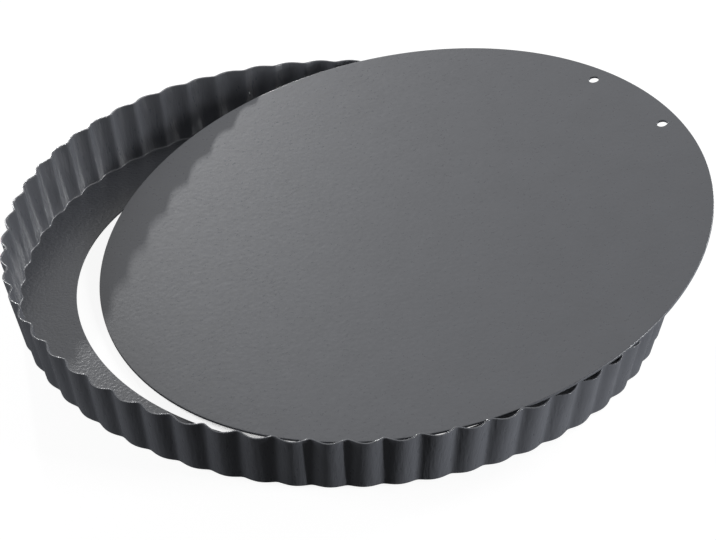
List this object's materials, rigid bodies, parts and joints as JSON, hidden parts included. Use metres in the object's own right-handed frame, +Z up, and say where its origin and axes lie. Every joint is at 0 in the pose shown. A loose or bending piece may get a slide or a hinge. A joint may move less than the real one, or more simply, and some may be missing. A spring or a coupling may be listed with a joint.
{
  "type": "quiche pan",
  "caption": "Round fluted quiche pan of dark non-stick coated sheet steel: an open ring with an inward ledge and a loose flat base with hang holes, leaning up out of the ring.",
  "frame": {"origin": "middle of the whole object's box at table height, with the base leaning as pictured", "axes": "+Z up along the ring's axis, +X to the side on which the base overhangs the ring"},
  "size_m": [0.2978, 0.2852, 0.0508],
  "materials": {
    "ring_coating": "semi-gloss dark grey non-stick coating with a fine orange-peel texture on sheet steel",
    "base_coating": "semi-gloss dark grey non-stick coating with a fine orange-peel texture on sheet steel"
  },
  "bodies": {
    "ring": {"fluted_ring": "ring_coating"},
    "base": {"loose_base": "base_coating"}
  },
  "joints": [
    {"name": "base_tip", "type": "hinge", "parent": "ring", "child": "base", "pos_m": [-0.10112, -0.03946, 0.0003], "axis": [0.3322, -0.9432, 0], "range_deg": [0, 65]}
  ]
}
